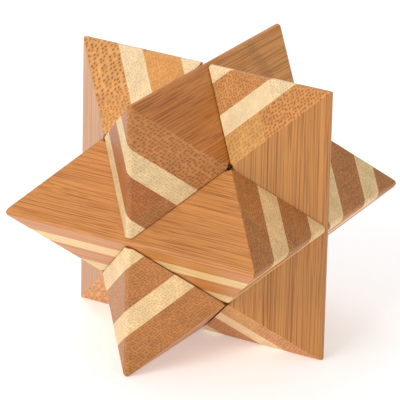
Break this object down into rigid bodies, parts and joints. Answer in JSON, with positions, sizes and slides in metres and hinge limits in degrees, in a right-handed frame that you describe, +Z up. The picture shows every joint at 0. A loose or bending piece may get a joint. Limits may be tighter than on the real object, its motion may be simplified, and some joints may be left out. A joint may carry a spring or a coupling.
{
  "type": "wooden burr puzzle",
  "caption": "Interlocking star burr puzzle of notched square sticks with wedge ends, laminated from dark and pale bamboo, that slides apart along its diagonals.",
  "frame": {"origin": "middle of the star's footprint, on the surface that it stands on, straight below the centre of the star", "axes": "+Z up; X along the front and back sticks; Y along the upper and lower sticks, from front to back; Z along the left and right sticks"},
  "size_m": [0.0704, 0.0704, 0.0703],
  "materials": {
    "bamboo_dark": "carbonised caramel bamboo with fine darker fibre streaks, sanded, satin clear lacquer",
    "bamboo_pale": "natural cream bamboo with faint tan fibre dots, sanded, satin clear lacquer"
  },
  "bodies": {
    "front_stick": {"front_stick_outer_dark": "bamboo_dark", "front_stick_outer_pale": "bamboo_pale", "front_stick_inner_dark": "bamboo_dark", "front_stick_inner_pale": "bamboo_pale"},
    "back_stick": {"back_stick_outer_dark": "bamboo_dark", "back_stick_outer_pale": "bamboo_pale", "back_stick_inner_dark": "bamboo_dark", "back_stick_inner_pale": "bamboo_pale"},
    "upper_stick": {"upper_stick_outer_dark": "bamboo_dark", "upper_stick_outer_pale": "bamboo_pale", "upper_stick_inner_dark": "bamboo_dark", "upper_stick_inner_pale": "bamboo_pale"},
    "lower_stick": {"lower_stick_outer_dark": "bamboo_dark", "lower_stick_outer_pale": "bamboo_pale", "lower_stick_inner_dark": "bamboo_dark", "lower_stick_inner_pale": "bamboo_pale"},
    "right_stick": {"right_stick_outer_dark": "bamboo_dark", "right_stick_outer_pale": "bamboo_pale", "right_stick_inner_dark": "bamboo_dark", "right_stick_inner_pale": "bamboo_pale"},
    "left_stick": {"left_stick_outer_dark": "bamboo_dark", "left_stick_outer_pale": "bamboo_pale", "left_stick_inner_dark": "bamboo_dark", "left_stick_inner_pale": "bamboo_pale"}
  },
  "joints": [
    {"name": "halves_apart", "type": "slide", "parent": "front_stick", "child": "right_stick", "axis": [0.5774, 0.5774, 0.5774], "range_m": [0, 0.045]},
    {"name": "front_stick_out", "type": "slide", "parent": "lower_stick", "child": "front_stick", "axis": [0.5774, -0.5774, 0.5774], "range_m": [0, 0.037]},
    {"name": "left_stick_out", "type": "slide", "parent": "lower_stick", "child": "left_stick", "axis": [-0.5774, 0.5774, 0.5774], "range_m": [0, 0.037]},
    {"name": "upper_stick_out", "type": "slide", "parent": "right_stick", "child": "upper_stick", "axis": [-0.5774, 0.5774, 0.5774], "range_m": [0, 0.037]},
    {"name": "back_stick_out", "type": "slide", "parent": "right_stick", "child": "back_stick", "axis": [-0.7071, 0.7071, 0], "range_m": [0, 0.0605]}
  ],
  "couplings": [
    {"joint": "left_stick_out", "follows": "front_stick_out", "ratio": 1},
    {"joint": "upper_stick_out", "follows": "front_stick_out", "ratio": 1},
    {"joint": "back_stick_out", "follows": "front_stick_out", "ratio": 1.633}
  ]
}
